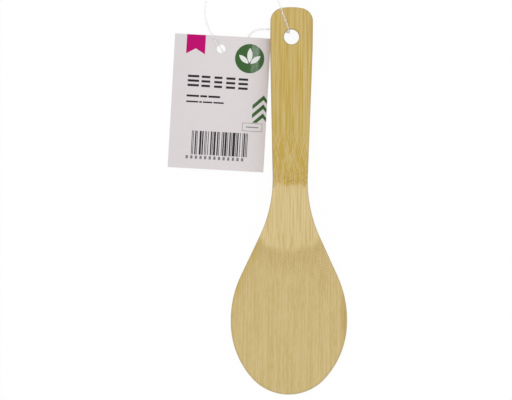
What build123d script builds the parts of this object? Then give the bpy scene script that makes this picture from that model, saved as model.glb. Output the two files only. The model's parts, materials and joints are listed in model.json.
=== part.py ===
from build123d import *
import math
import os

# A bamboo rice paddle with its hang tag, in millimetres.
#
# The paddle lies face up. +Y runs along it to the end with the hanging hole, +X is to
# its right seen from above, and +Z is up. The origin is on the table, under the middle
# of the paddle. The paddle is carved from one piece of bamboo. A bowed card tag hangs
# from its hole by a clear plastic loop, which a small moulded lock closes.

# How far a cutting solid runs past what it cuts.
overrun = 5

# A face is level if its normal's upright share is above the first of these, and upright
# if it is below the second.
level_share = 0.9
upright_share = 0.2

# The paddle seen from above, from its tip to the end of its handle. Its sides are the
# straight lines between these corners, with each corner rounded. The blade's end is an
# arc that is tighter than half the blade's width by the given amount.
paddle_length = 205
blade_width = 61.6
blade_widest_from_tip = 38.5
blade_shoulder_above_widest = 13.3
tip_tighter_by = 4.8
neck_corner_width = 17.7
neck_corner_from_tip = 98.9
neck_radius = 70
handle_width = 22.5
handle_taper_from_end = 21.3
handle_taper_radius = 300
handle_corner_radius = 7
handle_crown_radius = 30

# The share of its run from the widest place that the blade's rounded shoulder takes.
shoulder_rounding_share = 0.917

# The paddle seen from the side. Its underside is level but for the lifted tip and the
# handle, which sweeps up. Its front steps down from the thick neck to the thin blade.
tip_lift = 0.6
tip_lift_length = 18
handle_lift = 3.6
handle_lift_length = 86
blade_thickness = 3.0
neck_thickness = 7.5
handle_end_height = 9.3
slope_foot_from_tip = 60
slope_top_from_tip = 91

# Shares of the slope's length that its rounded foot takes, and of the tip's thickness
# that the rounded edges round the front and the back take.
slope_rounding_share = 0.345
front_edge_share = 0.5
back_edge_share = 0.46

# How much higher than its middle the blade is at its sides, where it is widest.
blade_dish = 1.2

# The hole that the paddle hangs by.
hole_diameter = 8
hole_from_end = 15.7
hole_edge_break = 0.5

# The card tag. Its middle stands off the table like a shallow arch, and its right side
# bends down to the table more steeply, beside the handle.
card_width = 50.8
card_length = 71
card_thickness = 0.4
card_arch = 2.0
card_hole_diameter = 4.5
card_hole_from_top = 6.9
card_hole_left_of_middle = 0.6
card_turn = 2.7

# The card's hole lies this far down the handle from the hanging hole, and its upper
# right corner reaches this far under the edge of the handle.
card_hole_below_hanging_hole = 6.5
card_tuck = 0.35

# The arch across the card: shares of half its width from the middle, and of its height.
card_arch_shares = [(-1.0, 0.0), (-0.55, 0.66), (-0.05, 1.0), (0.45, 0.93), (0.80, 0.42), (1.0, 0.0)]

# The clear loop, from the left end of its lock round to the right end. It goes over the
# tag's top edge, down through the tag's hole, out under the card, under the handle, up
# through the hanging hole and over the end of the handle. Each place is how far right of
# the hanging hole it is, how far up the handle from it, and how high: above the lock's
# axis beside the lock, above the top of the arch over the tag, above the handle's front
# over the handle, and above the table for the rest.
loop_diameter = 1.0
loop_left_of_lock = [(-33.6, 29.5, 0), (-37.6, 28.93, 0)]
loop_left_on_table = [(-42.4, 25.1, 0.9), (-45.5, 19.2, 1.1), (-46.3, 11.8, 2.1)]
loop_over_tag = [(-44.5, 5.0, 0.7), (-41.0, -0.7, 1.0), (-38.3, -4.9, 0.65)]
loop_under_tag = [
    (-36.2, -8.1, 1.3),
    (-34.0, -11.2, 0.55),
    (-29.6, -13.6, 0.6),
    (-25.4, -10.9, 0.55),
    (-23.9, -5.2, 0.6),
    (-23.1, 0.4, 0.55),
    (-18.8, 4.1, 0.6),
]
loop_under_handle = [(-12.7, 4.2, 0.6), (-8.4, 3.9, 0.6), (-3.5, 3.0, 0.8), (-1.4, 2.3, 3.6)]
loop_over_handle = [
    (-1.3, 2.6, -0.54),
    (-1.95, 4.5, 1.46),
    (-3.0, 7.9, 1.41),
    (-4.5, 11.4, 1.01),
    (-6.6, 18.2, 0.91),
    (-10.2, 24.4, -0.99),
]
loop_right_on_table = [(-15.8, 29.1, 4.6)]
loop_right_of_lock = [(-22.6, 31.07, 0), (-26.6, 30.5, 0)]

# The share of a straight run of the loop that the arc at each of its ends may take.
loop_arc_share = 0.45

# The lock that closes the loop, a small barrel lying on the table out at the far side.
lock_diameter = 3.2
lock_collar_length = 2
lock_collar_step = 0.35
lock_edge_break = 0.3

tip_y = -paddle_length / 2
end_y = paddle_length / 2
widest_y = tip_y + blade_widest_from_tip
tip_thickness = blade_thickness - tip_lift
tip_flat_y = tip_y + tip_lift_length
handle_flat_y = end_y - handle_lift_length
hole_y = end_y - hole_from_end


def front_height(y):
    """How high the middle of the handle's front is above the table."""
    slope_top_y = tip_y + slope_top_from_tip
    share = (y - slope_top_y) / (end_y + overrun - slope_top_y)
    return neck_thickness + share * (handle_end_height - neck_thickness)


def loop_route():
    """The loop's route as places in the paddle's frame."""
    groups = [
        (lock_diameter / 2, loop_left_of_lock),
        (0, loop_left_on_table),
        (card_arch + card_thickness, loop_over_tag),
        (0, loop_under_tag + loop_under_handle),
        (front_height(hole_y), loop_over_handle),
        (0, loop_right_on_table),
        (lock_diameter / 2, loop_right_of_lock),
    ]
    return [(x, hole_y + y, base + z) for base, places in groups for x, y, z in places]


def side_lines():
    """The right side of the outline, from the blade's widest place to the handle's end."""
    half_blade, half_neck, half_handle = blade_width / 2, neck_corner_width / 2, handle_width / 2
    neck_y = tip_y + neck_corner_from_tip
    shoulder_y = widest_y + blade_shoulder_above_widest
    flank_angle = math.atan2(half_blade - half_neck, neck_y - shoulder_y)
    shoulder_run = shoulder_rounding_share * blade_shoulder_above_widest
    shoulder_radius = shoulder_run / math.tan(flank_angle / 2)
    crown_drop = math.sqrt(
        (handle_crown_radius - handle_corner_radius) ** 2 - (half_handle - handle_corner_radius) ** 2
    )
    corner_y = end_y - handle_crown_radius + crown_drop
    return FilletPolyline(
        (half_blade, widest_y),
        (half_blade, shoulder_y),
        (half_neck, neck_y),
        (half_handle, end_y - handle_taper_from_end),
        (half_handle, corner_y),
        radius=[shoulder_radius, neck_radius, handle_taper_radius],
    )


def outline_face():
    """The paddle's outline seen from above, as a face on the table."""
    half_blade, half_handle = blade_width / 2, handle_width / 2
    side = side_lines()
    tip_radius = half_blade - tip_tighter_by
    drop = blade_widest_from_tip - tip_radius
    side_radius = (half_blade**2 + drop**2 - tip_radius**2) / (2 * (half_blade - tip_radius))
    tip_centre = Vector(0, tip_y + tip_radius)
    side_centre = Vector(half_blade - side_radius, widest_y)
    tip_joint = tip_centre + (tip_centre - side_centre).normalized() * tip_radius
    crown_centre = Vector(0, end_y - handle_crown_radius)
    corner_centre = Vector(half_handle - handle_corner_radius, (side @ 1).Y)
    crown_joint = corner_centre + (corner_centre - crown_centre).normalized() * handle_corner_radius
    mirrored = mirror(side, about=Plane.YZ)
    curves = [
        ThreePointArc(flipped(tip_joint), (0, tip_y), tip_joint),
        arc_about(side_centre, tip_joint, side @ 0),
        side,
        arc_about(corner_centre, side @ 1, crown_joint),
        ThreePointArc(crown_joint, (0, end_y), flipped(crown_joint)),
    ]
    curves += [mirror(curves[1], about=Plane.YZ), mirrored, mirror(curves[3], about=Plane.YZ)]
    return make_face([edge for curve in curves for edge in curve.edges()])


def flipped(point):
    """The same place on the left side of the paddle."""
    return Vector(-point.X, point.Y)


def arc_about(centre, start, end):
    """The short arc about a centre from one point to another."""
    radius = (start - centre).length
    middle = centre + ((start - centre) + (end - centre)).normalized() * radius
    return ThreePointArc(start, middle, end)


def underside_height(y):
    """How high the underside is above the table at a place along the paddle."""
    if y > handle_flat_y:
        return handle_lift * ((y - handle_flat_y) / handle_lift_length) ** 2
    if y < tip_flat_y:
        return tip_lift * ((tip_flat_y - y) / tip_lift_length) ** 2
    return 0


def side_block():
    """A block with the paddle's underside: level, with a lifted tip and handle."""
    top = handle_end_height + 3 * overrun
    past_tip, past_end = tip_y - overrun, end_y + overrun
    start = (past_tip, underside_height(past_tip))
    end = (past_end, underside_height(past_end))
    with BuildSketch(Plane.YZ) as side:
        with BuildLine():
            TangentArc((tip_flat_y, 0), start, tangent=(-1, 0))
            Line((tip_flat_y, 0), (handle_flat_y, 0))
            TangentArc((handle_flat_y, 0), end, tangent=(1, 0))
            Polyline(start, (past_tip, top), (past_end, top), end)
        make_face()
    return extrude(side.sketch.face(), blade_width / 2 + overrun, both=True)


def front_carving():
    """What is carved away above the front: its profile, turned about a far level axis.

    Turning it dishes the wide blade from side to side and leaves the handle nearly flat.
    """
    dish_radius = (blade_width / 2) ** 2 / (2 * blade_dish) + blade_dish / 2
    axis_height = blade_thickness + dish_radius
    slope_length = slope_top_from_tip - slope_foot_from_tip
    slope_angle = math.atan2(neck_thickness - blade_thickness, slope_length)
    slope_radius = slope_rounding_share * slope_length / math.tan(slope_angle / 2)
    past_tip, past_end = tip_y - overrun, end_y + overrun
    with BuildSketch(Plane.YZ) as side:
        with BuildLine():
            FilletPolyline(
                (past_tip, blade_thickness),
                (tip_y + slope_foot_from_tip, blade_thickness),
                (tip_y + slope_top_from_tip, neck_thickness),
                (past_end, handle_end_height),
                radius=slope_radius,
            )
            Line((past_end, handle_end_height), (past_end, axis_height))
            Line((past_end, axis_height), (past_tip, axis_height))
            Line((past_tip, axis_height), (past_tip, blade_thickness))
        make_face()
    return revolve(side.sketch.face(), Axis((0, 0, axis_height), (0, 1, 0)))


def carved_paddle():
    """The paddle: outline, underside, carved front, rounded edges and hanging hole."""
    height = handle_end_height + overrun
    body = (extrude(outline_face(), height) & side_block()) - front_carving()
    body = body.solid()
    body = body.fillet(back_edge_share * tip_thickness, rim_edges(body, -1))
    body = body.fillet(front_edge_share * tip_thickness, rim_edges(body, 1))
    hole = Pos(0, hole_y, 0) * Cylinder(hole_diameter / 2, 2 * height)
    body = (body - hole).solid()
    rims = body.edges().filter_by(
        lambda edge: abs(edge.bounding_box().size.Y - hole_diameter) < hole_edge_break
        and abs(edge.center(CenterOf.BOUNDING_BOX).Y - hole_y) < hole_edge_break
        and edge.bounding_box().size.Z < 2 * hole_edge_break
    )
    return body.chamfer(hole_edge_break, None, rims)


def rim_edges(body, side):
    """The edges where the upright walls meet the front, for side 1, or the back, for -1."""
    level = body.faces().filter_by(lambda face: side * face.normal_at().Z > level_share)
    upright = body.faces().filter_by(lambda face: abs(face.normal_at().Z) < upright_share)
    walls = upright.edges()
    return [edge for edge in level.edges() if any(edge.is_same(other) for other in walls)]


def tag_card():
    """The bowed card, with its hole, turned a little beside the handle."""
    half = card_width / 2
    middle = card_hole_left_of_middle
    low = [(middle + half * across, card_arch * high) for across, high in card_arch_shares]
    high = [(x, z + card_thickness) for x, z in low]
    with BuildSketch(Plane.XZ) as section:
        with BuildLine():
            Spline(low)
            Line(low[-1], high[-1])
            Spline(high)
            Line(high[0], low[0])
        make_face()
    hole_to_bottom = card_length - card_hole_from_top
    card = extrude(section.sketch.face(), hole_to_bottom, dir=(0, -1, 0))
    card += extrude(section.sketch.face(), card_hole_from_top, dir=(0, 1, 0))
    card -= Cylinder(card_hole_diameter / 2, 4 * (card_arch + card_thickness))
    card = Rot(0, 0, -card_turn) * card.solid()
    right_edge = card_tuck - handle_width / 2
    across = right_edge - card.bounding_box().max.X
    return Pos(across, hole_y - card_hole_below_hanging_hole) * card


def arc_radii(points):
    """For each corner of a route, the largest arc that its two runs leave room for."""
    radii = []
    for before, corner, after in zip(points, points[1:], points[2:]):
        first = Vector(*corner) - Vector(*before)
        second = Vector(*after) - Vector(*corner)
        half_turn = math.radians(first.get_angle(second) / 2)
        radii.append(loop_arc_share * min(first.length, second.length) / math.tan(half_turn))
    return radii


def loop_tube():
    """The loop's filament, as straight runs joined by arcs along its route."""
    route = loop_route()
    radii = arc_radii(route)
    path = FilletPolyline(*route, radius=radii)
    start = Plane(path @ 0, z_dir=path % 0)
    tube = sweep(start * Circle(loop_diameter / 2), path=path)
    full = math.pi * (loop_diameter / 2) ** 2 * path.length
    print("loop length", round(path.length, 1), "volume share", round(tube.volume / full, 4))
    print("loop radii", [round(radius, 1) for radius in radii])
    return tube.solid()


def lock_barrel():
    """The lock: a barrel with a collar at each end, face to face with the loop's ends."""
    route = loop_route()
    start, end = Vector(*route[0]), Vector(*route[-1])
    axis = Plane((start + end) / 2, z_dir=end - start)
    long = (end - start).length
    collar = Cylinder(lock_diameter / 2, lock_collar_length)
    barrel = Cylinder(lock_diameter / 2 - lock_collar_step, long)
    offset = (long - lock_collar_length) / 2
    barrel += Pos(0, 0, offset) * collar + Pos(0, 0, -offset) * collar
    ends = barrel.edges().filter_by(GeomType.CIRCLE).group_by(Axis.Z)
    barrel = chamfer([*ends[0], *ends[-1]], lock_edge_break)
    return (axis * barrel).solid()


os.makedirs("parts", exist_ok=True)
export_step(carved_paddle(), "parts/paddle.step")
export_step(tag_card(), "parts/tag_card.step")
export_step(loop_tube(), "parts/tag_loop.step")
export_step(lock_barrel(), "parts/loop_lock.step")
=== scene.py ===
import json
import math

import bmesh
import bpy
from bpy.props import FloatProperty, FloatVectorProperty, PointerProperty
from bpy.types import Operator, Panel, PropertyGroup
from mathutils import Matrix, Vector
from mathutils.bvhtree import BVHTree


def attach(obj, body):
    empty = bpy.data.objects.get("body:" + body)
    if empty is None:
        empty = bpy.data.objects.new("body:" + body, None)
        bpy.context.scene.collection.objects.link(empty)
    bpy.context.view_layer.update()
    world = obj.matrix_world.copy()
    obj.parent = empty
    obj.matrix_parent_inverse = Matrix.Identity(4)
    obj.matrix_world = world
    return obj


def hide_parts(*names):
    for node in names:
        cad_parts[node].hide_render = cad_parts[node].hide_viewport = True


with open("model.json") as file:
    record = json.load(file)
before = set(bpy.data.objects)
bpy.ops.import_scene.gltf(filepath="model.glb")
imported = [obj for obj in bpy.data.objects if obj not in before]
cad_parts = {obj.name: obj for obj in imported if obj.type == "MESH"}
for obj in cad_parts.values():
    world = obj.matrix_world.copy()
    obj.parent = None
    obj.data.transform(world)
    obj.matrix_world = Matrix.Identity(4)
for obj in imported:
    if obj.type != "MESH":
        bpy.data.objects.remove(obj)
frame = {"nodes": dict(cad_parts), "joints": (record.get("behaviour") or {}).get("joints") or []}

bl_info = {
    "name": "Bamboo rice paddle",
    "version": (1, 0, 0),
    "blender": (4, 5, 0),
    "location": "3D View > Sidebar > Rice Paddle",
    "description": "Finishes a bamboo rice paddle with its hang tag and lights it on a white table",
    "category": "Object",
}

MM = 0.001

# The card's hole, about which the card turns: its place over the table, and how far it is
# across and down the card from the upper left corner, in millimetres.
HINGES = {joint["name"]: Vector(joint["pos_m"]) for joint in frame["joints"]}
CARD_HOLE = HINGES["tag_swing"].to_2d()
CARD_HOLE_ACROSS = 24.8
CARD_HOLE_DOWN = 6.9
CARD_TURN = math.radians(-2.7)

# Print is cut across at every whole millimetre of the card's width, to follow its bow.
CARD_WIDTH = 51

# How rough each coated surface is, and how strongly it mirrors.
COATINGS = {
    "coated card": (0.34, 0.5),
    "magenta ink": (0.32, 0.05),
    "green ink": (0.05, 0.15),
    "white ink": (0.34, 0.4),
    "dark ink": (0.36, 0.1),
    "grey ink": (0.36, 0.1),
}

# The filament's route in metres, from the left end of its lock round to the right end.
LOOP_ROUTE = [
    (-0.0336, 0.1163, 0.0016),
    (-0.0376, 0.11573, 0.0016),
    (-0.0424, 0.1119, 0.0009),
    (-0.0455, 0.1060, 0.0011),
    (-0.0463, 0.0986, 0.0021),
    (-0.0445, 0.0918, 0.0031),
    (-0.0410, 0.0861, 0.0034),
    (-0.0383, 0.0819, 0.00305),
    (-0.0362, 0.0787, 0.0013),
    (-0.0340, 0.0756, 0.00055),
    (-0.0296, 0.0732, 0.0006),
    (-0.0254, 0.0759, 0.00055),
    (-0.0239, 0.0816, 0.0006),
    (-0.0231, 0.0872, 0.00055),
    (-0.0188, 0.0909, 0.0006),
    (-0.0127, 0.0910, 0.0006),
    (-0.0084, 0.0907, 0.0006),
    (-0.0035, 0.0898, 0.0008),
    (-0.0014, 0.0891, 0.0036),
    (-0.0013, 0.0894, 0.00845),
    (-0.00195, 0.0913, 0.01045),
    (-0.0030, 0.0947, 0.0104),
    (-0.0045, 0.0982, 0.0100),
    (-0.0066, 0.1050, 0.0099),
    (-0.0102, 0.1112, 0.0080),
    (-0.0158, 0.1159, 0.0046),
    (-0.0226, 0.11787, 0.0016),
    (-0.0266, 0.1173, 0.0016),
]

# The stage, in metres: each lamp's place with its width and length, the camera's place and turn,
# half the table's width, and how far its top is below the paddle.
MAIN_LAMP_PLACE = (-0.08, 0.5, 1.6)
MAIN_LAMP_SIZE = (1.2, 1.2)
STRIP_LAMP_PLACE = (0.242, 0.384, 1.0)
STRIP_LAMP_SIZE = (0.03, 0.6)
CAMERA_PLACE = (-0.0180, 0.0004)
CAMERA_TURN = math.radians(0.52)
TABLE_REACH = 3
TABLE_DROP = 0.0002


def colour(name, text, value):
    """A colour that a user can change."""
    return FloatVectorProperty(
        name=name, description=text, subtype="COLOR", size=3, min=0, max=1, default=value
    )


class BambooLooks(PropertyGroup):
    """The bamboo's colours, along the paddle."""

    handle_pale: colour("Handle, pale", "The paler strips of the handle", (0.570, 0.425, 0.157))
    handle_gold: colour("Handle, golden", "The golden strips of the handle", (0.482, 0.324, 0.045))
    neck: colour("Neck", "The pale wood below the node", (0.672, 0.531, 0.262))
    neck_line: colour("Neck lines", "The fine lines in the neck", (0.570, 0.425, 0.170))
    blade: colour("Blade", "The wood of the blade", (0.608, 0.472, 0.219))
    blade_dash: colour("Blade dashes", "The short darker fibres of the blade", (0.526, 0.392, 0.146))
    node_mark: colour("Node marks", "The dark arcs of the node", (0.360, 0.210, 0.036))
    stain: colour("Stains", "The brown stains at the right", (0.430, 0.262, 0.060))
    # Edges: partly the sides' own darker fibres, partly painted shade for faces that turn away from the
    # light.
    edge: colour("Edges", "The sawn and rounded sides", (0.46, 0.36, 0.20))
    node_place: FloatProperty(
        name="Node place", description="How far up the paddle from its middle the node is",
        default=0.0122, unit="LENGTH",
    )


class TagLooks(PropertyGroup):
    """The card and what is printed on it."""

    paper: colour("Paper", "The coated card", (0.664, 0.618, 0.629))
    green: colour("Green", "The green ink", (0.022, 0.100, 0.013))
    magenta: colour("Magenta", "The ribbon's ink", (0.50, 0.001, 0.150))
    white: colour("White", "The leaves' ink", (0.74, 0.76, 0.73))
    ink: colour("Ink", "The dark ink", (0.022, 0.018, 0.021))
    pale_ink: colour("Grey ink", "The thin grey lines", (0.20, 0.19, 0.195))
    ink_height: FloatProperty(
        name="Ink height", description="How far the ink stands on the card",
        default=0.00003, unit="LENGTH",
    )


class LoopLooks(PropertyGroup):
    """The clear filament and its lock."""

    clear: colour("Clear plastic", "The tint of the clear plastic", (0.95, 0.94, 0.96))
    diameter: FloatProperty(
        name="Filament", description="The filament's diameter", default=0.001, unit="LENGTH"
    )


class StageLooks(PropertyGroup):
    """The table, the lamps and the camera."""

    ambient: FloatProperty(
        name="Soft light", description="Strength of the light from all round", default=0.80
    )
    key: FloatProperty(
        name="Main lamp", description="Power of the large lamp", default=7.4, unit="POWER"
    )
    strip: FloatProperty(
        name="Strip lamp", description="Power of the narrow lamp", default=1.7, unit="POWER"
    )
    camera_height: FloatProperty(
        name="Camera height", description="How high the camera is above the table",
        default=2.5, unit="LENGTH",
    )
    view_width: FloatProperty(
        name="View width", description="Width of the table that the camera sees",
        default=0.2714, unit="LENGTH",
    )


LOOKS = {
    "bamboo_looks": BambooLooks,
    "tag_looks": TagLooks,
    "loop_looks": LoopLooks,
    "stage_looks": StageLooks,
}


class Nodes:
    """Adds nodes to a shader tree and joins them."""

    def __init__(self, tree):
        self.tree = tree

    def add(self, kind, inputs=None, **settings):
        """A node with its settings, and its inputs set or joined by name or place."""
        node = self.tree.nodes.new(kind)
        for name, value in settings.items():
            setattr(node, name, value)
        for name, value in (inputs or {}).items():
            self.feed(node.inputs[name], value)
        return node

    def feed(self, socket, value):
        """Sets an input to a value, or joins it to another node's output."""
        if isinstance(value, bpy.types.NodeSocket):
            self.tree.links.new(value, socket)
        elif socket.type == "RGBA":
            socket.default_value = (*value, 1)
        else:
            socket.default_value = value

    def math(self, operation, first, second=0.0, clamp=False):
        """What an operation makes of one or two values."""
        node = self.add("ShaderNodeMath", {0: first, 1: second}, operation=operation, use_clamp=clamp)
        return node.outputs[0]

    def vector(self, operation, place, other):
        """What an operation makes of two places."""
        return self.add("ShaderNodeVectorMath", {0: place, 1: other}, operation=operation).outputs

    def step(self, value, low, high):
        """0 below low and 1 above high, with a soft change between."""
        inputs = {"Value": value, "From Min": low, "From Max": high, "To Min": 0.0, "To Max": 1.0}
        return self.add("ShaderNodeMapRange", inputs, interpolation_type="SMOOTHSTEP").outputs[0]

    def bump_at(self, value, middle, reach):
        """1 at a middle value, falling to 0 at a reach to each side."""
        off = self.math("ABSOLUTE", self.math("SUBTRACT", value, middle))
        return self.step(off, reach, 0.0)

    def times(self, *values):
        """The product of several values."""
        product = values[0]
        for value in values[1:]:
            product = self.math("MULTIPLY", product, value)
        return product

    def sum(self, *values):
        """The sum of several values."""
        total = values[0]
        for value in values[1:]:
            total = self.math("ADD", total, value)
        return total

    # A Mix node has inputs of the same name for each kind of value, so they are taken by place.

    def blend(self, share, first, second):
        """Two colours mixed by a share of the second."""
        return self.add("ShaderNodeMix", {0: share, 6: first, 7: second}, data_type="RGBA").outputs[2]

    def mixed(self, share, first, second):
        """Two values mixed by a share of the second."""
        return self.add("ShaderNodeMix", {0: share, 2: first, 3: second}).outputs[0]

    def noise(self, place, scale=1.0, detail=2.0, roughness=0.5):
        """Soft noise from 0 to 1."""
        inputs = {"Vector": place, "Scale": scale, "Detail": detail, "Roughness": roughness}
        return self.add("ShaderNodeTexNoise", inputs).outputs[0]

    def cells(self, place, randomness):
        """How far a place is from the middle of the nearest of many cells."""
        inputs = {"Vector": place, "Scale": 1.0, "Randomness": randomness}
        return self.add("ShaderNodeTexVoronoi", inputs).outputs["Distance"]

    def scaled(self, place, scale):
        """A place times a scale along each axis."""
        return self.vector("MULTIPLY", place, scale)[0]

    def shifted(self, place, shift):
        """A place moved."""
        return self.vector("ADD", place, shift)[0]

    def distance(self, place, other):
        """How far one place is from another."""
        return self.vector("DISTANCE", place, other)["Value"]

    def part(self, place):
        """The three parts of a place."""
        return self.add("ShaderNodeSeparateXYZ", {0: place}).outputs

    def joined(self, x, y, z):
        """A place made of three parts."""
        return self.add("ShaderNodeCombineXYZ", {0: x, 1: y, 2: z}).outputs[0]

    def bump(self, height, strength, distance):
        """A surface's direction, made uneven by a height."""
        inputs = {"Height": height, "Strength": strength, "Distance": distance}
        return self.add("ShaderNodeBump", inputs).outputs[0]

    def group(self, tree, inputs):
        """A node group with its inputs."""
        node = self.add("ShaderNodeGroup", node_tree=tree)
        for name, value in inputs.items():
            self.feed(node.inputs[name], value)
        return node.outputs


def new_group(name, inputs, outputs):
    """An empty node group with named inputs and outputs, and its writer and ends."""
    tree = bpy.data.node_groups.new(name, "ShaderNodeTree")
    for socket, kind, value in inputs:
        made = tree.interface.new_socket(socket, in_out="INPUT", socket_type=kind)
        if value is not None:
            made.default_value = value
    for socket, kind in outputs:
        tree.interface.new_socket(socket, in_out="OUTPUT", socket_type=kind)
    nodes = Nodes(tree)
    return tree, nodes, nodes.add("NodeGroupInput").outputs, nodes.add("NodeGroupOutput").inputs


def long_streaks():
    """The group for streaks that run along Y, in millimetres."""
    found = bpy.data.node_groups.get("long streaks")
    if found:
        return found
    tree, nodes, given, out = new_group(
        "long streaks",
        [
            ("Place", "NodeSocketVector", None),
            ("Width", "NodeSocketFloat", 1.0),
            ("Length", "NodeSocketFloat", 40.0),
            ("Seed", "NodeSocketFloat", 0.0),
        ],
        [("Streaks", "NodeSocketFloat")],
    )
    across = nodes.math("DIVIDE", 1.0, given["Width"])
    along = nodes.math("DIVIDE", 1.0, given["Length"])
    place = nodes.scaled(given["Place"], nodes.joined(across, along, nodes.times(across, 0.35)))
    place = nodes.shifted(place, nodes.joined(given["Seed"], given["Seed"], given["Seed"]))
    soft = nodes.noise(place, detail=2.5, roughness=0.55)
    nodes.feed(out["Streaks"], nodes.step(soft, 0.32, 0.68))
    return tree


def clouded_surface():
    """The group for a smooth surface: clouds in its tint, and fine specks in its gloss and height."""
    found = bpy.data.node_groups.get("clouded surface")
    if found:
        return found
    tree, nodes, given, out = new_group(
        "clouded surface",
        [
            ("Place", "NodeSocketVector", None),
            ("Speck Size", "NodeSocketFloat", 0.5),
            ("Tint", "NodeSocketColor", None),
            ("Cloud Share", "NodeSocketFloat", 0.03),
            ("Roughness", "NodeSocketFloat", 0.35),
            ("Roughness Spread", "NodeSocketFloat", 0.1),
        ],
        [("Color", "NodeSocketColor"), ("Roughness", "NodeSocketFloat"), ("Height", "NodeSocketFloat")],
    )
    scale = nodes.math("DIVIDE", 1.0, given["Speck Size"])
    specks = nodes.noise(given["Place"], scale, detail=3.0, roughness=0.6)
    clouds = nodes.noise(given["Place"], nodes.times(scale, 0.08))
    cloudy = nodes.blend(nodes.times(clouds, given["Cloud Share"]), given["Tint"], (0, 0, 0))
    nodes.feed(out["Color"], cloudy)
    rougher = nodes.times(specks, given["Roughness Spread"])
    nodes.feed(out["Roughness"], nodes.sum(rougher, given["Roughness"]))
    nodes.feed(out["Height"], specks)
    return tree


def new_material(name):
    """A material with its writer, its shader's inputs and the place on the object in millimetres."""
    material = bpy.data.materials.new(name)
    material.use_nodes = True
    nodes = Nodes(material.node_tree)
    shader = material.node_tree.nodes["Principled BSDF"].inputs
    coordinates = nodes.add("ShaderNodeTexCoord").outputs["Object"]
    return material, nodes, shader, nodes.scaled(coordinates, (1 / MM, 1 / MM, 1 / MM))


def put_on(piece, material):
    """Gives a piece one material."""
    piece.data.materials.clear()
    piece.data.materials.append(material)


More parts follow.
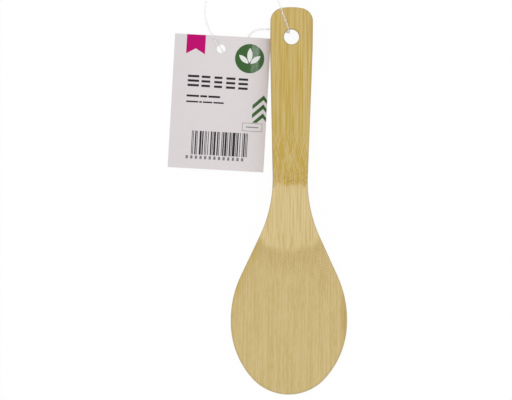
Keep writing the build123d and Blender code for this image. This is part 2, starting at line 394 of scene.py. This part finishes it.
class Bamboo:
    """Bamboo split along its fibres, zone by zone. Places and widths are in millimetres."""

    def __init__(self, nodes, place, looks):
        self.nodes = nodes
        self.place = place
        self.looks = looks
        self.x, self.y, self.z = nodes.part(place)
        self.side = nodes.math("ABSOLUTE", self.x)
        self.drift = nodes.math("SUBTRACT", nodes.noise(nodes.scaled(place, (0.25, 0.1, 0.25))), 0.5)
        self.wavy_y = nodes.sum(self.y, nodes.times(self.drift, 6.0))
        self.node_y = looks.node_place / MM
        bulge = nodes.times(self.x, self.x, 0.022)
        neck_end = -25.5
        self.past_neck = nodes.math("SUBTRACT", nodes.sum(bulge, neck_end), self.wavy_y)
        self.on_blade = nodes.step(self.past_neck, -2.0, 3.0)
        self.fine = self.streak(width=0.42, length=28.0, seed=3.0)
        self.middle = self.streak(width=0.7, length=50.0, seed=11.0)
        self.dashes = self.streak(width=0.5, length=4.5, seed=53.0)
        self.clouds = self.streak(width=6.0, length=22.0, seed=71.0)

    def streak(self, width, length, seed, place=None):
        """Streaks along the paddle, or along another place if one is given."""
        inputs = {"Place": place or self.place, "Width": width, "Length": length, "Seed": seed}
        return self.nodes.group(long_streaks(), inputs)[0]

    def lattice(self):
        """Crossing fibres, which lean in from both sides."""
        nodes = self.nodes
        lean = nodes.times(nodes.sum(self.y, -25.0), 0.26)
        way = nodes.math("SIGN", nodes.sum(self.x, nodes.times(self.drift, 9.0)))
        into = nodes.joined(nodes.math("SUBTRACT", self.side, lean), self.y, nodes.times(way, 7.0))
        out_of = nodes.joined(nodes.sum(self.side, lean), self.y, nodes.times(way, 19.0))
        one_way = self.streak(width=0.7, length=13.0, seed=31.0, place=into)
        other_way = self.streak(width=0.8, length=16.0, seed=41.0, place=out_of)
        return nodes.step(nodes.sum(nodes.times(one_way, 0.5), nodes.times(other_way, 0.5)), 0.34, 0.66)

    def handle(self):
        """The handle: pale and golden strips, with crossing fibres above the node."""
        nodes = self.nodes
        broad = self.streak(width=2.6, length=120.0, seed=23.0)
        golden = nodes.sum(
            nodes.times(self.middle, 0.44), nodes.times(self.fine, 0.42), nodes.times(broad, 0.14)
        )
        golden = nodes.step(golden, 0.24, 0.76)
        from_node = nodes.step(self.wavy_y, self.node_y, self.node_y + 5)
        crossing = nodes.times(from_node, nodes.step(self.wavy_y, 42.0, 29.0), 0.85)
        golden = nodes.mixed(crossing, golden, self.lattice())
        return nodes.blend(golden, self.looks.handle_pale, self.looks.handle_gold)

    def neck(self):
        """The neck: pale, with fine lines."""
        nodes = self.nodes
        lines = nodes.sum(nodes.times(self.fine, 0.6), nodes.times(self.middle, 0.4))
        return nodes.blend(nodes.step(lines, 0.25, 0.85), self.looks.neck, self.looks.neck_line)

    def net(self):
        """A net of crossing lines where the blade begins."""
        nodes = self.nodes
        warped_x = nodes.sum(self.x, nodes.times(self.drift, 5.0))
        lines = []
        for lean in (1.1, -1.1):
            leaning = nodes.sum(warped_x, nodes.times(self.wavy_y, lean))
            lines.append(nodes.math("SINE", nodes.times(leaning, 3.3)))
        net = nodes.step(nodes.math("MAXIMUM", *lines), 0.2, 0.95)
        band = nodes.bump_at(self.past_neck, middle=6.0, reach=9.0)
        return nodes.times(net, band, self.on_blade)

    def rings(self):
        """A few thin rings at the upper right of the blade, parts of wide circles."""
        nodes = self.nodes
        rings_middle = (20.0, -50.0, 4.0)
        patch_middle = (14.5, -37.0, 4.0)
        reach = nodes.sum(nodes.distance(self.place, rings_middle), nodes.times(self.drift, 4.0))
        rings = nodes.step(nodes.math("SINE", nodes.times(reach, 4.1)), -0.4, 1.0)
        near = nodes.step(nodes.distance(self.place, patch_middle), 9.5, 3.5)
        return nodes.times(rings, near, self.on_blade)

    def specks(self):
        """The cut ends of fibres in the upper blade."""
        nodes = self.nodes
        cells = nodes.cells(nodes.scaled(self.place, (1.15, 0.95, 0.4)), randomness=0.75)
        return nodes.times(nodes.step(cells, 0.42, 0.12), self.on_blade, nodes.step(self.y, -58.0, -32.0))

    def flank(self):
        """The golden wood along the upper left flank of the blade."""
        nodes = self.nodes
        start = nodes.sum(nodes.times(self.y, -0.46), 3.2)
        flank = nodes.step(nodes.math("SUBTRACT", self.side, start), -2.0, 5.0)
        upper_left = nodes.times(nodes.step(self.y, -66.0, -42.0), nodes.step(self.x, 12.0, -12.0))
        return nodes.times(flank, upper_left, self.on_blade, nodes.sum(nodes.times(self.clouds, 0.5), 0.38))

    def blade(self):
        """The blade: short fibres and long low lines, with marks where it is cut aslant."""
        nodes, looks = self.nodes, self.looks
        low_lines = self.streak(width=0.75, length=30.0, seed=61.0)
        darker = nodes.sum(
            nodes.times(self.dashes, 0.40), nodes.times(low_lines, 0.54), nodes.times(self.clouds, 0.06)
        )
        blade = nodes.blend(nodes.step(darker, 0.05, 1.0), looks.blade, looks.blade_dash)
        marks = nodes.sum(
            nodes.times(self.net(), 0.25), nodes.times(self.rings(), 0.16), nodes.times(self.specks(), 0.14)
        )
        blade = nodes.blend(marks, blade, looks.node_mark)
        return nodes.blend(self.flank(), blade, looks.handle_gold)

    def node_arcs(self):
        """The node: a band of short dark arcs."""
        nodes = self.nodes
        wavy = nodes.joined(self.x, self.wavy_y, self.z)
        cells = nodes.cells(nodes.scaled(wavy, (0.95, 0.75, 0.3)), randomness=1.0)
        band = nodes.bump_at(self.wavy_y, middle=self.node_y, reach=6.5)
        return nodes.times(nodes.step(cells, 0.50, 0.16), band, 0.8)

    def stains(self):
        """Warm stains: at the right of the handle's end and along the right edge of the blade."""
        nodes = self.nodes
        at_end = nodes.times(
            nodes.bump_at(self.x, middle=9.4, reach=3.0), nodes.bump_at(self.y, middle=92.0, reach=13.0), 0.55
        )
        at_edge = nodes.times(
            nodes.bump_at(self.x, middle=29.0, reach=2.6), nodes.bump_at(self.y, middle=-60.0, reach=18.0)
        )
        return nodes.times(nodes.sum(at_end, at_edge), nodes.sum(nodes.times(self.fine, 0.6), 0.35))

    def sides_and_shade(self):
        """Where painted shade and the darker side fibres go: 1 on upright faces and 0 on level ones."""
        normal = self.nodes.add("ShaderNodeNewGeometry").outputs["Normal"]
        return self.nodes.step(self.nodes.math("ABSOLUTE", self.nodes.part(normal)[2]), 0.90, 0.35)

    def wood(self):
        """The whole colour, with darker fibres and painted shade on the sawn and rounded sides."""
        nodes, looks = self.nodes, self.looks
        above_node = nodes.step(self.wavy_y, self.node_y - 5.2, self.node_y - 1.8)
        wood = nodes.blend(self.on_blade, self.neck(), self.blade())
        wood = nodes.blend(above_node, wood, self.handle())
        wood = nodes.blend(self.node_arcs(), wood, looks.node_mark)
        wood = nodes.blend(self.stains(), wood, looks.stain)
        golden_edge = nodes.blend(0.5, looks.edge, looks.handle_gold)
        edge = nodes.blend(nodes.times(self.fine, 0.5), looks.edge, golden_edge)
        # Upright and rounded faces, the hole's wall among them, get painted shade mixed with their own darker
        # fibres.
        return nodes.blend(nodes.times(self.sides_and_shade(), 0.75), wood, edge)

    def grain(self):
        """The height of the grain, from 0 to 1."""
        return self.nodes.sum(self.nodes.times(self.fine, 0.6), self.nodes.times(self.dashes, 0.4))


def bamboo_material(looks):
    """Bare sanded bamboo."""
    material, nodes, shader, place = new_material("bamboo")
    bamboo = Bamboo(nodes, place, looks)
    grain = bamboo.grain()
    nodes.feed(shader["Base Color"], bamboo.wood())
    nodes.feed(shader["Roughness"], nodes.sum(nodes.times(grain, 0.14), 0.50))
    nodes.feed(shader["Normal"], nodes.bump(grain, strength=0.25, distance=0.00005))
    nodes.feed(shader["Specular IOR Level"], 0.35)
    return material


def coated_material(name, tint):
    """Coated card or its ink, made once: even colour with faint clouds and a light sheen."""
    found = bpy.data.materials.get(name)
    if found:
        return found
    roughness, sheen = COATINGS[name]
    material, nodes, shader, place = new_material(name)
    surface = nodes.group(clouded_surface(), {
        "Place": place, "Speck Size": 0.35, "Tint": tint, "Cloud Share": 0.04,
        "Roughness": roughness, "Roughness Spread": 0.10,
    })
    nodes.feed(shader["Base Color"], surface["Color"])
    nodes.feed(shader["Roughness"], surface["Roughness"])
    nodes.feed(shader["Normal"], nodes.bump(surface["Height"], strength=0.12, distance=0.00002))
    nodes.feed(shader["Specular IOR Level"], sheen)
    return material


def clear_material(name, tint, roughness, transmission, solid):
    """Clear moulded or drawn plastic, a little cloudy."""
    material, nodes, shader, place = new_material(name)
    surface = nodes.group(clouded_surface(), {
        "Place": place, "Speck Size": 0.8, "Tint": tint, "Cloud Share": 0.05,
        "Roughness": roughness, "Roughness Spread": 0.06,
    })
    nodes.feed(shader["Base Color"], surface["Color"])
    nodes.feed(shader["Roughness"], surface["Roughness"])
    nodes.feed(shader["Normal"], nodes.bump(surface["Height"], strength=0.05, distance=0.00005))
    nodes.feed(shader["Transmission Weight"], transmission)
    nodes.feed(shader["IOR"], 1.5)
    nodes.feed(shader["Alpha"], solid)
    return material


def card_place(across, down):
    """The place over the table of a spot on the card, in millimetres from its upper left corner."""
    spot = Vector((across - CARD_HOLE_ACROSS, CARD_HOLE_DOWN - down)) * MM
    return CARD_HOLE + Matrix.Rotation(CARD_TURN, 2) @ spot


def card_surface():
    """Finds places on the card's own mesh."""
    mesh = frame["nodes"]["tag_card"].data
    return BVHTree.FromPolygons(
        [vertex.co.copy() for vertex in mesh.vertices], [tuple(face.vertices) for face in mesh.polygons]
    )


def cut_across(ink):
    """Cuts flat print into strips that can follow the card's bow."""
    for across in range(1, CARD_WIDTH):
        geometry = [*ink.verts, *ink.edges, *ink.faces]
        bmesh.ops.bisect_plane(ink, geom=geometry, dist=1e-5, plane_co=(across, 0, 0), plane_no=(1, 0, 0))


def lay_on_card(ink, name, height):
    """Thickens flat print and lays it on the card, as far into its surface as above it."""
    surface = card_surface()
    lower = bmesh.ops.extrude_face_region(ink, geom=ink.faces[:])["geom"]
    lower = {part for part in lower if isinstance(part, bmesh.types.BMVert)}
    for vertex in ink.verts:
        place = card_place(vertex.co.x, vertex.co.y)
        hit = surface.ray_cast(Vector((place.x, place.y, 1)), Vector((0, 0, -1)))[0]
        if hit is None:
            raise RuntimeError(f"{name} runs past the card at {vertex.co.x:.1f}, {vertex.co.y:.1f}")
        vertex.co = hit + Vector((0, 0, -height if vertex in lower else height))
    bmesh.ops.recalc_face_normals(ink, faces=ink.faces[:])


def printed(name, outlines, material, height):
    """Makes one piece of print from flat outlines, as a thin layer of ink that rides on the card."""
    ink = bmesh.new()
    for outline in outlines:
        ink.faces.new([ink.verts.new((across, down, 0)) for across, down in outline])
    cut_across(ink)
    lay_on_card(ink, name, height)
    mesh = bpy.data.meshes.new(name)
    ink.to_mesh(mesh)
    ink.free()
    piece = bpy.data.objects.new(name, mesh)
    bpy.context.scene.collection.objects.link(piece)
    put_on(piece, material)
    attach(piece, "tag")


def bar(left, top, width, height):
    """A rectangle's outline, in millimetres across and down the card."""
    return [(left, top), (left + width, top), (left + width, top + height), (left, top + height)]


def row_of_bars(spans, top, height):
    """Bars in one row, each with its left end and its width."""
    return [bar(left, top, width, height) for left, width in spans]


def disc(across, down, radius, corners=40):
    """A round outline about its middle."""
    angles = [2 * math.pi * corner / corners for corner in range(corners)]
    return [(across + radius * math.cos(angle), down + radius * math.sin(angle)) for angle in angles]


def leaf(across, down, length, half_width, turn, steps=8):
    """A pointed leaf's outline from its stalk end, turned from straight up."""
    shares = [step / steps for step in range(1, steps)]
    right = [(half_width * math.sin(math.pi * share) ** 0.8, -length * share) for share in shares]
    left = [(-wide, along) for wide, along in reversed(right)]
    turned = [Matrix.Rotation(turn, 2) @ Vector(spot) for spot in [(0, 0), *right, (0, -length), *left]]
    return [(across + spot.x, down + spot.y) for spot in turned]


def filament_line(diameter):
    """The filament's route as one smooth round line."""
    line = bpy.data.curves.new("filament", "CURVE")
    line.dimensions = "3D"
    spline = line.splines.new("NURBS")
    spline.points.add(len(LOOP_ROUTE) - 1)
    for point, place in zip(spline.points, LOOP_ROUTE):
        point.co = (*place, 1)
    spline.order_u = 3
    spline.use_endpoint_u = True
    spline.resolution_u = 8
    line.bevel_depth = diameter / 2
    line.bevel_resolution = 5
    line.use_fill_caps = True
    return line


class PADDLE_OT_bamboo(Operator):
    """Gives the paddle its bamboo"""

    bl_idname = "rice_paddle.bamboo"
    bl_label = "Bamboo paddle"

    def execute(self, context):
        put_on(frame["nodes"]["paddle"], bamboo_material(context.scene.bamboo_looks))
        return {"FINISHED"}


class PADDLE_OT_card(Operator):
    """Gives the tag its coated card"""

    bl_idname = "rice_paddle.card"
    bl_label = "Tag card"

    def execute(self, context):
        put_on(frame["nodes"]["tag_card"], coated_material("coated card", context.scene.tag_looks.paper))
        return {"FINISHED"}


class PADDLE_OT_ribbon_and_disc(Operator):
    """Prints the ribbon and the green disc with its leaves"""

    bl_idname = "rice_paddle.ribbon_and_disc"
    bl_label = "Ribbon and disc"

    def execute(self, context):
        looks = context.scene.tag_looks
        left, right, top, foot, notch = 6.4, 16.4, 0.1, 10.3, 7.4
        ribbon = [(left, top), (right, top), (right, foot), ((left + right) / 2, notch), (left, foot)]
        printed("ribbon_print", [ribbon], coated_material("magenta ink", looks.magenta), looks.ink_height)
        middle = 40.2
        green = coated_material("green ink", looks.green)
        printed("disc_print", [disc(middle, down=11.25, radius=7.75)], green, looks.ink_height)
        side_leaf_shift = 0.5
        side_leaf_turn = math.radians(50)
        leaves = [leaf(middle, down=13.5, length=7.9, half_width=1.4, turn=0.0)]
        for side in (-1, 1):
            stalk = middle + side * side_leaf_shift
            leaves.append(leaf(stalk, down=13.9, length=6.7, half_width=1.3, turn=side * side_leaf_turn))
        printed("leaf_print", leaves, coated_material("white ink", looks.white), 2 * looks.ink_height)
        return {"FINISHED"}


class PADDLE_OT_lines(Operator):
    """Prints the plain bars in place of lines of text"""

    bl_idname = "rice_paddle.lines"
    bl_label = "Lines of bars"

    def execute(self, context):
        looks = context.scene.tag_looks
        ink = coated_material("dark ink", looks.ink)
        first_left, first_top, cell_width, cell_pitch, cell_drop = 8.2, 21.5, 5.8, 6.6, 0.1
        bar_height, bar_pitch = 1.2, 2.4
        heading = []
        for cell, width in enumerate((6.0, 4.6, 4.2, 4.8, 5.0)):
            left = first_left + cell_pitch * cell + (cell_width - width) / 2
            top = first_top + cell_drop * cell
            heading += [bar(left, top + bar_pitch * row, width, bar_height) for row in range(3)]
        printed("heading_print", heading, ink, looks.ink_height)
        small = row_of_bars([(7.9, 6.6), (15.2, 3.6), (19.5, 6.2)], top=32.0, height=1.05)
        small += row_of_bars([(7.9, 6.4), (14.8, 1.4), (16.7, 5.0), (22.3, 5.5)], top=35.2, height=0.8)
        printed("small_lines_print", small, ink, looks.ink_height)
        return {"FINISHED"}


class PADDLE_OT_chevrons(Operator):
    """Prints the green chevrons and the thin box under them"""

    bl_idname = "rice_paddle.chevrons"
    bl_label = "Chevrons and box"

    def execute(self, context):
        looks = context.scene.tag_looks
        tip_across, first_tip_down, pitch = 48.8, 30.3, 4.75
        # Corners across and down from a chevron's tip. The lowest left arm is cut off above the box.
        tip_and_right_arm = [(0, 0), (1.8, 2.4), (1.8, 4.4), (0, 2.4)]
        left_arm = [(-5.7, 7.7), (-5.7, 5.4)]
        cut_left_arm = [(-3.1, 5.2), (-5.5, 5.2)]
        chevrons = []
        for count, arm in enumerate((left_arm, left_arm, cut_left_arm)):
            tip_down = first_tip_down + pitch * count
            corners = tip_and_right_arm + arm
            chevrons.append([(tip_across + across, tip_down + down) for across, down in corners])
        printed("chevron_print", chevrons, coated_material("green ink", looks.green), looks.ink_height)
        left, top, width, height, line = 38.2, 45.3, 10.6, 4.4, 0.22
        inset, inner_height = 2.0, 0.5
        box = [
            bar(left, top, width, line),
            bar(left, top + height - line, width, line),
            bar(left, top + line, line, height - 2 * line),
            bar(left + width - line, top + line, line, height - 2 * line),
            bar(left + inset, top + (height - inner_height) / 2, width - 2 * inset, inner_height),
        ]
        printed("box_print", box, coated_material("grey ink", looks.pale_ink), looks.ink_height)
        return {"FINISHED"}


class PADDLE_OT_stripes(Operator):
    """Prints a block of upright stripes of several widths, with a row of short dashes below"""

    bl_idname = "rice_paddle.stripes"
    bl_label = "Stripes"

    def execute(self, context):
        looks = context.scene.tag_looks
        widths = (1, 1, 2, 1, 3, 2, 1, 1, 1, 2, 1, 3, 2, 1, 1, 2, 3, 1, 2, 1, 4, 1, 2, 1, 1, 2, 1, 1)
        gaps = (1, 2, 1, 3, 1, 2, 1, 2, 3, 1, 1, 2, 1, 3, 1, 1, 1, 2, 1, 1, 1, 1, 2, 3, 1, 1, 1, 1)
        left, top, block_width, height = 11.9, 50.9, 29.6, 12.6
        unit = block_width / (sum(widths) + sum(gaps[:-1]))
        stripes = []
        for width, gap in zip(widths, gaps):
            stripes.append(bar(left, top, width * unit, height))
            left += (width + gap) * unit
        printed("stripe_print", stripes, coated_material("dark ink", looks.ink), looks.ink_height)
        first_left, pitch, dash_width = 9.2, 2.45, 1.2
        spans = [(first_left + pitch * count, dash_width) for count in range(13)]
        dashes = row_of_bars(spans, top=64.1, height=1.7)
        printed("dash_print", dashes, coated_material("grey ink", looks.pale_ink), looks.ink_height)
        return {"FINISHED"}


class PADDLE_OT_loop(Operator):
    """Runs the clear filament from its lock through the tag and the hanging hole"""

    bl_idname = "rice_paddle.loop"
    bl_label = "Filament"

    def execute(self, context):
        looks = context.scene.loop_looks
        piece = bpy.data.objects.new("filament", filament_line(looks.diameter))
        context.scene.collection.objects.link(piece)
        clear = clear_material("clear filament", looks.clear, roughness=0.38, transmission=0.5, solid=0.5)
        put_on(piece, clear)
        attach(piece, "loop")
        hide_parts("tag_loop")
        return {"FINISHED"}


class PADDLE_OT_lock(Operator):
    """Gives the loop's lock its clear plastic"""

    bl_idname = "rice_paddle.lock"
    bl_label = "Lock"

    def execute(self, context):
        tint = context.scene.loop_looks.clear
        clear = clear_material("clear lock", tint, roughness=0.2, transmission=0.55, solid=0.85)
        put_on(frame["nodes"]["loop_lock"], clear)
        return {"FINISHED"}


def white_for_camera(nodes, light, white, share):
    """Mixes a plain white over a shader for the camera, and for what shines or is clear."""
    rays = nodes.add("ShaderNodeLightPath").outputs
    seen = nodes.math("ADD", rays["Is Camera Ray"], rays["Is Glossy Ray"], clamp=True)
    seen = nodes.math("ADD", seen, rays["Is Transmission Ray"], clamp=True)
    mixed = nodes.add("ShaderNodeMixShader", {0: nodes.times(seen, share), 1: light, 2: white})
    return mixed.outputs[0]


def hung_lamp(name, place, size, power):
    """A flat lamp that faces down."""
    lamp = bpy.data.lights.new(name, "AREA")
    lamp.shape = "RECTANGLE"
    lamp.size, lamp.size_y = size
    lamp.energy = power
    holder = bpy.data.objects.new(name, lamp)
    holder.location = place
    bpy.context.scene.collection.objects.link(holder)
    return holder


class PADDLE_OT_stage(Operator):
    """Sets the white table, the lamps, the surroundings and the camera"""

    bl_idname = "rice_paddle.stage"
    bl_label = "Table, lamps and camera"

    def execute(self, context):
        looks = context.scene.stage_looks
        context.scene.view_settings.view_transform = "Standard"
        self.lay_table(context)
        self.set_world(context, looks)
        self.hang_lamps(looks)
        self.place_camera(context, looks)
        return {"FINISHED"}

    def lay_table(self, context):
        """A wide white table that keeps a faint shadow."""
        mesh = bpy.data.meshes.new("table")
        corners = [(-1, -1), (1, -1), (1, 1), (-1, 1)]
        mesh.from_pydata([(TABLE_REACH * x, TABLE_REACH * y, 0) for x, y in corners], [], [(0, 1, 2, 3)])
        table = bpy.data.objects.new("table", mesh)
        table.location.z = -TABLE_DROP
        context.scene.collection.objects.link(table)
        material = bpy.data.materials.new("white table")
        material.use_nodes = True
        nodes = Nodes(material.node_tree)
        material.node_tree.nodes.clear()
        matt = nodes.add("ShaderNodeBsdfDiffuse", {"Color": (0.95, 0.95, 0.95)}).outputs[0]
        white = nodes.add("ShaderNodeEmission", {"Color": (1, 1, 1), "Strength": 1.0}).outputs[0]
        nodes.add("ShaderNodeOutputMaterial", {"Surface": white_for_camera(nodes, matt, white, share=0.94)})
        put_on(table, material)

    def set_world(self, context, looks):
        """Even soft light from all round, seen as white."""
        world = bpy.data.worlds.new("soft room")
        context.scene.world = world
        world.use_nodes = True
        nodes = Nodes(world.node_tree)
        world.node_tree.nodes.clear()
        soft = nodes.add("ShaderNodeBackground", {"Color": (1, 1, 1), "Strength": looks.ambient}).outputs[0]
        white = nodes.add("ShaderNodeBackground", {"Color": (1, 1, 1), "Strength": 1.0}).outputs[0]
        nodes.add("ShaderNodeOutputWorld", {"Surface": white_for_camera(nodes, soft, white, share=1.0)})

    def hang_lamps(self, looks):
        """A large soft lamp overhead, and a narrow one that only glossy print shines back."""
        overhead = hung_lamp("main lamp", MAIN_LAMP_PLACE, MAIN_LAMP_SIZE, looks.key)
        overhead.rotation_euler = (-overhead.location).to_track_quat("-Z", "Y").to_euler()
        strip = hung_lamp("strip lamp", STRIP_LAMP_PLACE, STRIP_LAMP_SIZE, looks.strip)
        strip.visible_diffuse = False

    def place_camera(self, context, looks):
        """The camera straight over the paddle, a little turned."""
        lens = bpy.data.cameras.new("camera")
        lens.sensor_width = 36
        lens.lens = lens.sensor_width * looks.camera_height / looks.view_width
        lens.clip_start = 0.01
        holder = bpy.data.objects.new("camera", lens)
        holder.location = (*CAMERA_PLACE, looks.camera_height)
        holder.rotation_euler = (0, 0, CAMERA_TURN)
        context.scene.collection.objects.link(holder)
        context.scene.camera = holder


OPERATORS = (
    PADDLE_OT_bamboo,
    PADDLE_OT_card,
    PADDLE_OT_ribbon_and_disc,
    PADDLE_OT_lines,
    PADDLE_OT_chevrons,
    PADDLE_OT_stripes,
    PADDLE_OT_loop,
    PADDLE_OT_lock,
    PADDLE_OT_stage,
)


class PADDLE_PT_panel(Panel):
    """Lists the steps and what can be changed"""

    bl_idname = "PADDLE_PT_panel"
    bl_label = "Rice Paddle"
    bl_space_type = "VIEW_3D"
    bl_region_type = "UI"
    bl_category = "Rice Paddle"

    def draw(self, context):
        layout = self.layout
        for name, looks in LOOKS.items():
            box = layout.box()
            for setting in looks.__annotations__:
                box.prop(getattr(context.scene, name), setting)
        for operator in OPERATORS:
            layout.operator(operator.bl_idname)


def register():
    for looks in LOOKS.values():
        bpy.utils.register_class(looks)
    for name, looks in LOOKS.items():
        setattr(bpy.types.Scene, name, PointerProperty(type=looks))
    for operator in OPERATORS:
        bpy.utils.register_class(operator)
    bpy.utils.register_class(PADDLE_PT_panel)


def unregister():
    bpy.utils.unregister_class(PADDLE_PT_panel)
    for operator in reversed(OPERATORS):
        bpy.utils.unregister_class(operator)
    for name, looks in LOOKS.items():
        delattr(bpy.types.Scene, name)
        bpy.utils.unregister_class(looks)


def main():
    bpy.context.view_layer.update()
    register()
    for operator in OPERATORS:
        family, name = operator.bl_idname.split(".")
        getattr(getattr(bpy.ops, family), name)()


if __name__ == "__main__":
    main()
